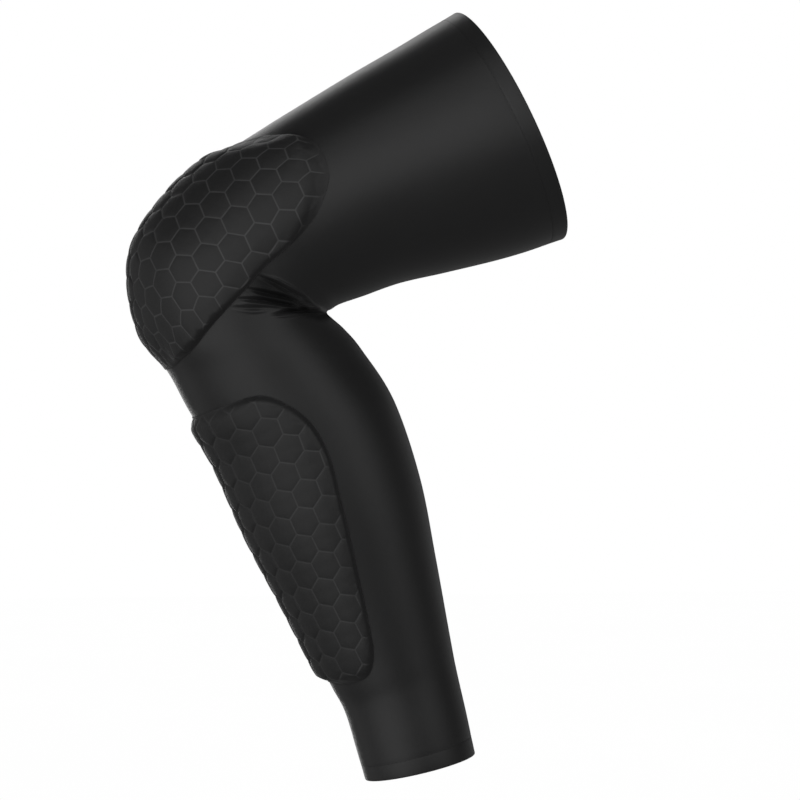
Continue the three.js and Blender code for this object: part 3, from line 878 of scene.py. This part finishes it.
def cover_finish(name, line_strength, front_loss):
    """Black knit over foam cells, with the lines between them rubbed paler by the bonding. The lines die away
    at the pad's edge, and a share of their strength is lost towards the front."""
    material, shade = new_finish(name)
    side, up, place = surface_places(shade, "cells")
    inset = shade.node("ShaderNodeAttribute", {"attribute_name": "inset"}, {}, "Fac")
    relief = knit_relief(side, up)
    patches = cloud(shade, place, scale=30, detail=3)
    wear = line_strength * (LINE_WEAR[0] + LINE_WEAR[1] * cloud(shade, place, scale=55, detail=2))
    kept = inset.stepped(*EDGE_FADE) * (1 - front_loss * (1 - abs(side).stepped(*FRONT_FADE)))
    line = (1 - line_distance(side, up).stepped(*LINE_BREADTH)) * wear * kept
    cover = knit_colour(patches, relief, PAD_LOOP_SHADE, PAD_BLACK, PAD_WORN_AND_LIT)
    normal = shade.node("ShaderNodeBump", {}, {**KNIT_BUMP, "Height": relief}, "Normal")
    colour = line.mixed(cover, PAD_LINE)
    roughness = PAD_ROUGHNESS + PAD_PATCHES * patches
    lay_finish(shade, principled(shade, colour, roughness, normal, KNIT_CONSTANTS))
    return material


# First row from the centre, scale along and across, taper, narrowing at the ends, bow and fan.
KNEE_STRETCH = (0.025, 0.95, 1.0, 1.2, 0.12, -1.0, 23.5)
SHIN_STRETCH = (0.041, 1.02, 0.935, 1.0, 0, 0, 0)

# The centre's section number, the stretch, the breadth of the slopes where top and bottom cross the front,
# the breadth of the edge at the upper outer ends, the strength of the pale lines, the share of it that is
# lost at the front, and the outline.
PADS = (
    ("knee_pad", 6.75, KNEE_STRETCH, (0.028, 0.030), 0.016, 0.85, 0.0, KNEE_OUTLINE),
    ("shin_pad", 13.2, SHIN_STRETCH, (0.007, 0.007), 0.0024, 0.55, 0.5, SHIN_OUTLINE),
)
for name, centre, stretch, front_slopes, end_edge, line_strength, front_loss, half_outline in PADS:
    outline = pad_outline(half_outline)
    mesh, held = pad_mesh(name, centre, stretch, front_slopes, end_edge, outline)
    pad = add_piece(name, mesh)
    mesh.materials.append(cover_finish(name + "_cover", line_strength, front_loss))
    swell(pad, held)
    rounding = pad.modifiers.new("rounding", "SUBSURF")
    rounding.levels = 1
    rounding.render_levels = 1
    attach(pad, "root")
    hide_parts(name)

# The room: a plain pale floor well below the sleeve, soft studio lamps all round it, surroundings that look
# white but light it only dimly, and a camera that looks at the near side.
LOOK_AT = Vector((0.1105, 0, -0.102))
CAMERA_DISTANCE = 2.38
CAMERA_TURN = math.radians(-10)
CAMERA_SENSOR = 36
CAMERA_LENS = 157.5

camera_data = bpy.data.cameras.new("camera")
camera_data.sensor_width = CAMERA_SENSOR
camera_data.lens = CAMERA_LENS
camera = bpy.data.objects.new("camera", camera_data)
bpy.context.scene.collection.objects.link(camera)
camera.location = LOOK_AT + CAMERA_DISTANCE * Vector((math.sin(CAMERA_TURN), -math.cos(CAMERA_TURN), 0))
camera.rotation_euler = (LOOK_AT - camera.location).to_track_quat("-Z", "Y").to_euler()
bpy.context.scene.camera = camera

LAMP_DISTANCE = 4


def add_lamp(name, azimuth, elevation, size, power):
    """A soft lamp of a width and height, aimed at the sleeve from a direction about it."""
    data = bpy.data.lights.new(name, "AREA")
    data.shape = "RECTANGLE"
    data.size, data.size_y = size
    data.energy = power
    lamp = bpy.data.objects.new(name, data)
    bpy.context.scene.collection.objects.link(lamp)
    turn = math.radians(azimuth)
    lift = math.radians(elevation)
    way = Vector((math.sin(turn) * math.cos(lift), -math.cos(turn) * math.cos(lift), math.sin(lift)))
    lamp.location = LOOK_AT + LAMP_DISTANCE * way
    lamp.rotation_euler = (-way).to_track_quat("-Z", "Y").to_euler()
    lamp.visible_camera = False


# Degrees round from the near side and up, width and height in metres, and watts.
add_lamp("left_wall", -108, -4, (4.0, 5.2), 13)
add_lamp("front_left_wall", -44, -4, (4.9, 5.2), 60)
add_lamp("front_wall", 8, 30, (5.2, 6.0), 56)
add_lamp("right_wall", 46, 2, (2.2, 2.4), 6.5)
add_lamp("back_wall", 130, 0, (3.3, 2.4), 2.5)
add_lamp("behind_wall", 188, 12, (1.4, 4.4), 26)

WHITE = (1, 1, 1, 1)
DIM_BELOW = (0.1, 0.1, 0.1, 1)
DIM_ABOVE = (0.02, 0.02, 0.02, 1)
DIM_RISE = (-0.3, 0.6)  # from how low to how high the light falls off

world = bpy.data.worlds.new("studio")
world.use_nodes = True
world.node_tree.nodes.clear()
shade = Shade(world.node_tree)
seen = shade.node("ShaderNodeLightPath", {}, {}, "Is Camera Ray")
way = shade.node("ShaderNodeTexCoord", {}, {}, "Generated")
height = shade.node("ShaderNodeSeparateXYZ", {}, {"Vector": way}, "Z")
dim = height.stepped(*DIM_RISE).mixed(DIM_BELOW, DIM_ABOVE)
backdrop = shade.node("ShaderNodeBackground", {}, {"Color": seen.mixed(dim, WHITE)})
shade.node("ShaderNodeOutputWorld", {}, {"Surface": backdrop})
bpy.context.scene.world = world

FLOOR_HALF = 4
FLOOR_HEIGHT = -0.46
FLOOR_GREY = (0.99, 0.99, 0.99, 1)

pale_floor, shade = new_finish("pale_floor")
place = shade.node("ShaderNodeTexCoord", {}, {}, "Object")
grain = cloud(shade, place, scale=3, detail=2)
lay_finish(shade, shade.node("ShaderNodeEmission", {}, {"Color": grain.mixed(WHITE, FLOOR_GREY)}))
floor_mesh = bpy.data.meshes.new("floor")
sides = ((-1, -1), (1, -1), (1, 1), (-1, 1))
floor_mesh.from_pydata([(FLOOR_HALF * x, FLOOR_HALF * y, FLOOR_HEIGHT) for x, y in sides], [], [(0, 1, 2, 3)])
floor = add_piece("floor", floor_mesh)
floor_mesh.materials.append(pale_floor)
floor.visible_diffuse = False
floor.visible_glossy = False
floor.visible_shadow = False

bpy.context.scene.view_settings.view_transform = "Standard"
